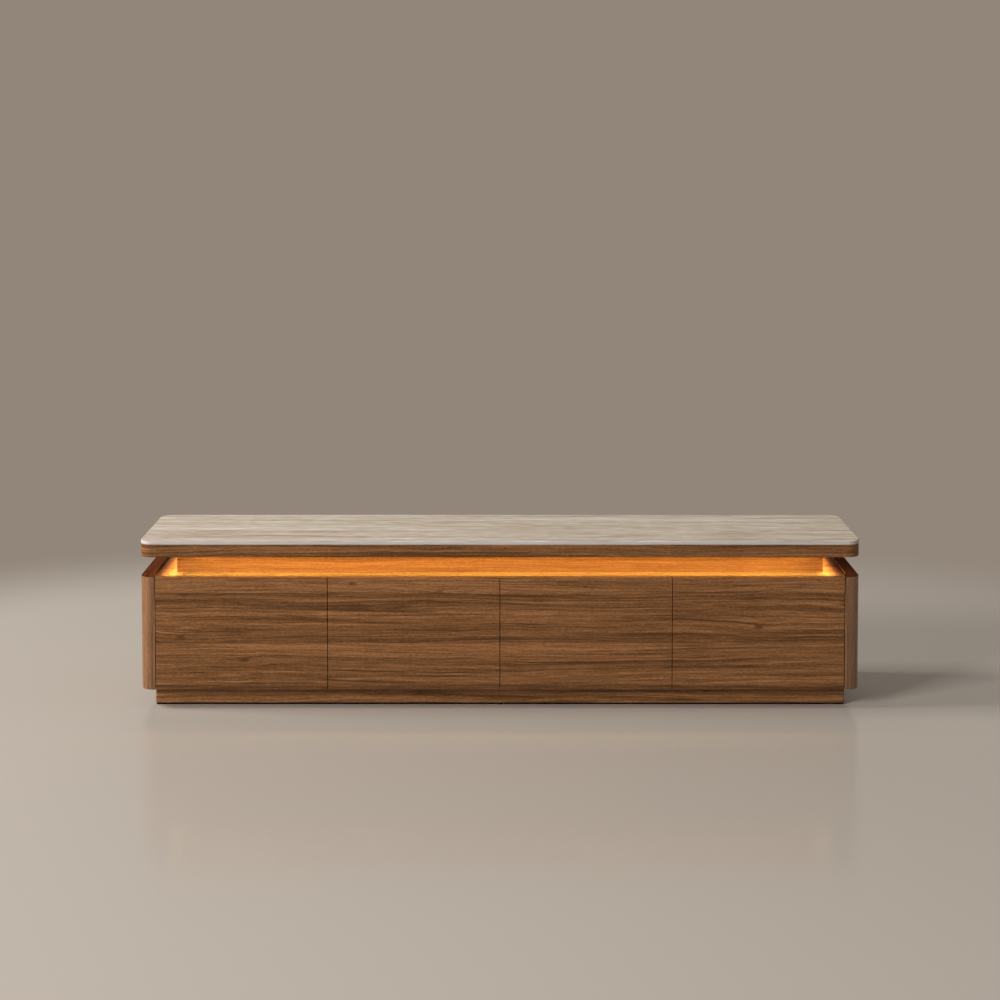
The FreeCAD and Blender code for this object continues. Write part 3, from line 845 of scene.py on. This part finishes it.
def birch_bottom():
    """Birch plywood of the drawers' bottoms, grained from side to side."""
    n = material("birch_bottom")
    x, y = n.place()[:2]
    streaks = n.cloud((x, y, SLICE), BOTTOM_GRAIN)
    rays = n.cloud((x, y, SLICE), BOTTOM_RAYS)
    base = n.ramp(streaks + (rays - NOISE_MIDDLE) * RAY_DEPTH, BOTTOM_FACE)
    return n.surface(Base_Color=base, Roughness=BOTTOM_ROUGHNESS, Normal=n.bump(rays, *RAY_BUMP))


class STAND_OT_birch(Operator):
    """Pale birch plywood of the drawer boxes, with its layers on the top edges, and of the hidden rails"""

    bl_idname = "stand.birch"
    bl_label = "Dress the birch"

    def execute(self, context):
        dress(birch("birch_sides"), *drawer_nodes("sides"), "runner_packers", "plinth_cross_rails",
              "riser_cross_rails")
        dress(birch("birch_backs", turned=True), *drawer_nodes("back"))
        dress(birch_bottom(), *drawer_nodes("bottom"), "joint_biscuits")
        return {"FINISHED"}


class STAND_OT_runners(Operator):
    """Zinc-plated runners at the drawers' sides"""

    bl_idname = "stand.runners"
    bl_label = "Dress the runners"

    def execute(self, context):
        dress(metal("zinc_plate"), "runner_fixed_rails", *drawer_nodes("runner_middles"),
              *drawer_nodes("runner_slides"))
        return {"FINISHED"}


class STAND_OT_back(Operator):
    """Back panel with a plain foil, the glides and the base strips"""

    bl_idname = "stand.back"
    bl_label = "Dress the back and the base"

    def execute(self, context):
        wood = context.scene.stand_walnut
        foil = walnut("walnut_back_foil", wood, level_grain, seed=8.0, tone=0.44, vigour=0.8)
        dress(foil, "back_panel")
        # Base strips and glides darker than black plastic: painted shade of the gap under the plinth
        dress(plastic("black_base"), "glide_feet", "plinth_base_strips")
        return {"FINISHED"}


def revolved(profile, sides):
    """Closed surface of revolution.

    The point (radius, height) at angle a lies at (radius cos a, radius sin a, height). The profile starts and
    ends on the axis and runs from the foot up, so faces point outwards.
    """
    profile = np.array(profile)
    angles = np.linspace(0.0, 2 * np.pi, sides, endpoint=False)
    radius, height = profile[1:-1].T[:, :, None]
    rings = np.stack(np.broadcast_arrays(radius * np.cos(angles), radius * np.sin(angles), height), -1)
    poles = np.array([(0.0, 0.0, profile[0, 1]), (0.0, 0.0, profile[-1, 1])])
    first = np.arange(rings.shape[0] * sides).reshape(-1, sides)
    after = np.roll(first, -1, 1)
    quads = np.stack([first[:-1], after[:-1], after[1:], first[1:]], -1).reshape(-1, 4)
    foot, tip = rings.shape[0] * sides, rings.shape[0] * sides + 1
    low = np.stack([np.full(sides, foot), after[0], first[0]], -1)
    high = np.stack([np.full(sides, tip), first[-1], after[-1]], -1)
    return np.concatenate([rings.reshape(-1, 3), poles]), [quads, np.concatenate([low, high])]


def crossed(points, reach, width, depth):
    """Head with a cross recess: upper points near the two slots sink by the depth."""
    x, y, z = points.T
    near = np.minimum(abs(x), abs(y)) < width
    inside = np.hypot(x, y) < reach
    top = z > z.max() * HEAD_TOP
    return points - np.stack([0 * z, 0 * z, depth * (near & inside & top)], -1)


def screw_head(radius, rise, sides=24):
    """Low domed head with a cross recess: an outline of revolution, with its foot at height zero."""
    points, faces = revolved(np.array(HEAD_OUTLINE) * (radius, rise), sides)
    return crossed(points, RECESS_REACH * radius, RECESS_HALF * radius, RECESS_DEPTH * rise), faces


def pin(radius, reach, sides=16):
    """Round pin with a domed tip: a straight side and an arc of revolution, with its foot at height zero."""
    arc = [(radius * math.cos(a), reach - radius + radius * math.sin(a)) for a in PIN_DOME]
    return revolved([(0.0, 0.0), (radius, 0.0), *arc, (0.0, reach)], sides)


def add_piece(name, shape, axis, places, finish, body):
    """Copies of one shape, turned so that its Z points along an axis, as one piece that rides on a body."""
    points, faces = shape
    turn = np.array(Vector(axis).to_track_quat("Z", "Y").to_matrix())
    turned = points @ turn.T
    copies = turned[None] + np.array(places)[:, None]
    shifts = np.arange(len(places))[:, None, None] * len(points)
    lists = [(part[None] + shifts).reshape(-1, part.shape[1]).tolist() for part in faces]
    mesh = bpy.data.meshes.new(name)
    mesh.from_pydata(copies.reshape(-1, 3).tolist(), [], sum(lists, []))
    mesh.materials.append(finish)
    item = bpy.data.objects.new(name, mesh)
    bpy.context.scene.collection.objects.link(item)
    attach(item, body)


class STAND_OT_fittings(Operator):
    """Screws of the back panel, pins of the mains inlet, runner screws and the cams of the drawers"""

    bl_idname = "stand.fittings"
    bl_label = "Add the fittings"

    def execute(self, context):
        fit = context.scene.stand_fittings
        zinc = metal("zinc_fittings")
        self.back_screws(fit, zinc)
        self.inlet(fit, zinc)
        for number in DRAWERS:
            self.drawer(fit, zinc, number)
        return {"FINISHED"}

    def back_screws(self, fit, zinc):
        """Rows of screws along the upper and lower edges of the back panel."""
        low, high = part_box("back_panel")
        reach = high[0] - low[0] - 2 * fit.screw_edge
        count = math.ceil(reach / fit.screw_step) + 1
        row = np.linspace(low[0] + fit.screw_edge, high[0] - fit.screw_edge, count)
        heights = (low[2] + fit.screw_edge, high[2] - fit.screw_edge)
        places = [(x, high[1], z) for z in heights for x in row]
        add_piece("back_panel_screws", screw_head(fit.screw_radius, fit.screw_rise), (0, 1, 0), places, zinc,
                  "carcass")

    def inlet(self, fit, zinc):
        """Two pins in the well of the mains inlet, and a small screw at each end of its flange."""
        low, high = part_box("led_inlet")
        x, z = (low[0] + high[0]) / 2, (low[2] + high[2]) / 2
        floor = high[1] - INLET_WELL
        places = [(x + side * fit.pin_gap / 2, floor, z) for _, side in HANDS]
        add_piece("inlet_pins", pin(fit.pin_radius, fit.pin_length), (0, 1, 0), places, zinc, "carcass")
        reach = (high[0] - low[0]) / 2 - INLET_LIP / 2
        places = [(x + side * reach, high[1], z) for _, side in HANDS]
        head = screw_head(INLET_LIP * INLET_HEAD[0], INLET_FLANGE * INLET_HEAD[1])
        add_piece("inlet_screws", head, (0, 1, 0), places, zinc, "carcass")

    def drawer(self, fit, zinc, number):
        """Screws in the drawer's runner members, and the cams at its front corners."""
        body = f"drawer_{number}"
        low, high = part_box(f"{body}_sides")
        rail_low, rail_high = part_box(f"{body}_runner_slides")
        rail_z = (rail_low[2] + rail_high[2]) / 2
        stations = np.linspace(rail_low[1] + RUNNER_SCREW_INSET, rail_high[1] - RUNNER_SCREW_INSET,
                               RUNNER_SCREWS)
        cam_y = low[1] + fit.cam_setback
        cam_heights = (low[2] + CAM_ABOVE_FOOT, high[2] - CAM_BELOW_TOP)
        outsides = [(hand, side, x) for (hand, side), x in zip(HANDS, (low[0], high[0]))]
        head = screw_head(fit.runner_screw_radius, fit.runner_screw_rise, RUNNER_HEAD_SIDES)
        for hand, side, x in outsides:
            places = [(x + side * RUNNER_SHEET, y, rail_z) for y in stations]
            add_piece(f"{body}_runner_screws_{hand}", head, (side, 0, 0), places, zinc, body)
        cam = screw_head(fit.cam_radius, fit.cam_rise)
        for hand, side, x in outsides:
            places = [(x - side * BOX_SIDE, cam_y, z) for z in cam_heights]
            add_piece(f"{body}_cams_{hand}", cam, (-side, 0, 0), places, zinc, body)


def add_lamp(name, lamp, light):
    """Soft square lamp that looks at the stand. Its power gives the wanted light at its distance."""
    bearing, rise = math.radians(lamp.bearing), math.radians(lamp.elevation)
    data = bpy.data.lights.new(name, "AREA")
    data.energy = light * (math.pi * lamp.distance) ** 2
    data.size = lamp.size
    away = Vector((-math.sin(bearing) * math.cos(rise), -math.cos(bearing) * math.cos(rise), math.sin(rise)))
    item = bpy.data.objects.new(name, data)
    item.location = Vector(LAMP_TARGET) + away * lamp.distance
    item.rotation_euler = away.to_track_quat("Z", "Y").to_euler()
    hide_lamp(item)


class STAND_OT_stage(Operator):
    """Pale floor, soft lamps, background and camera"""

    bl_idname = "stand.stage"
    bl_label = "Set the stage"

    def execute(self, context):
        scene = context.scene
        stage = scene.stand_stage
        scene.view_settings.view_transform = "Standard"
        self.floor(stage)
        self.background(scene, stage)
        for name, lamp in LAMPS.items():
            add_lamp(f"{name}_lamp", lamp, getattr(stage, name))
        self.camera(scene, stage)
        return {"FINISHED"}

    def camera(self, scene, stage):
        """Camera in front of the stand, tilted down, with a shifted lens."""
        data = bpy.data.cameras.new("photo_camera")
        data.sensor_width = SENSOR_WIDTH
        data.lens = stage.lens
        data.shift_y = stage.shift
        camera = bpy.data.objects.new("photo_camera", data)
        camera.location = (0.0, -stage.camera_back, stage.camera_up)
        camera.rotation_euler = (math.pi / 2 - stage.camera_tilt, 0.0, 0.0)
        scene.collection.objects.link(camera)
        scene.camera = camera

    def seen(self, n):
        """One for rays from the camera, off gloss or through glass."""
        kinds = ("Is Camera Ray", "Is Glossy Ray", "Is Transmission Ray")
        rays = [n.node("LightPath", None, None, kind) for kind in kinds]
        return rays[0] + rays[1] + rays[2]

    def floor(self, stage):
        """Wide floor at height zero that passes into the background further away."""
        corners = np.array([(-1, -1, 0), (1, -1, 0), (1, 1, 0), (-1, 1, 0)]) * FLOOR_REACH
        mesh = bpy.data.meshes.new("floor")
        mesh.from_pydata(corners.tolist(), [], [(0, 1, 2, 3)])
        item = bpy.data.objects.new("floor", mesh)
        bpy.context.scene.collection.objects.link(item)
        n = material("floor_paint")
        x, y = n.place()[:2]
        off_x = n.largest(abs(x) - NEAR_HALF[0], 0.0)
        off_y = n.largest(abs(y + NEAR_FRONT) - NEAR_HALF[1], 0.0)
        away = n.node("Math", {"operation": "SQRT"}, {0: off_x * off_x + off_y * off_y})
        far = n.node("MapRange", {"interpolation_type": "SMOOTHSTEP"},
                     {"Value": away, "From Min": FADE_START, "From Max": FADE_END})
        paint = n.principled(Base_Color=solid(stage.floor), Roughness=FLOOR_ROUGHNESS)
        plain = n.node("Emission", None, {"Color": solid(stage.background)})
        shader = n.node("MixShader", None, {0: far * self.seen(n), 1: paint, 2: plain})
        mesh.materials.append(n.close("OutputMaterial", shader))

    def background(self, scene, stage):
        """Even light from all sides, with a plain colour where it is seen."""
        n = Nodes(scene.world or bpy.data.worlds.new("studio"))
        scene.world = n.owner
        light = n.node("Background", None, {"Color": solid(AMBIENT_TINT), "Strength": stage.ambient})
        plain = n.node("Background", None, {"Color": solid(stage.background), "Strength": 1.0})
        n.close("OutputWorld", n.node("MixShader", None, {0: self.seen(n), 1: light, 2: plain}))


class STAND_PT_sidebar(Panel):
    """Lists the steps that dress the stand."""

    bl_idname = "STAND_PT_sidebar"
    bl_label = "TV stand"
    bl_space_type = "VIEW_3D"
    bl_region_type = "UI"
    bl_category = "TV stand"

    def draw(self, context):
        for step in STEPS:
            self.layout.operator(step.bl_idname)


SETTINGS = {
    "stand_walnut": StandWalnut,
    "stand_stone": StandStone,
    "stand_light": StandLight,
    "stand_fittings": StandFittings,
    "stand_stage": StandStage,
}
STEPS = (
    STAND_OT_stage,
    STAND_OT_walnut_case,
    STAND_OT_walnut_uprights,
    STAND_OT_stone_top,
    STAND_OT_light,
    STAND_OT_birch,
    STAND_OT_runners,
    STAND_OT_back,
    STAND_OT_fittings,
)


def register():
    """Register the settings, the steps and the panel."""
    for name, group in SETTINGS.items():
        bpy.utils.register_class(group)
        setattr(bpy.types.Scene, name, PointerProperty(type=group))
    for step in STEPS:
        bpy.utils.register_class(step)
    bpy.utils.register_class(STAND_PT_sidebar)


def unregister():
    """Take away what register added."""
    bpy.utils.unregister_class(STAND_PT_sidebar)
    for step in reversed(STEPS):
        bpy.utils.unregister_class(step)
    for name, group in SETTINGS.items():
        delattr(bpy.types.Scene, name)
        bpy.utils.unregister_class(group)


def main():
    """Dress the stand step by step."""
    register()
    for step in STEPS:
        group, name = step.bl_idname.split(".")
        getattr(getattr(bpy.ops, group), name)()


if __name__ == "__main__":
    main()
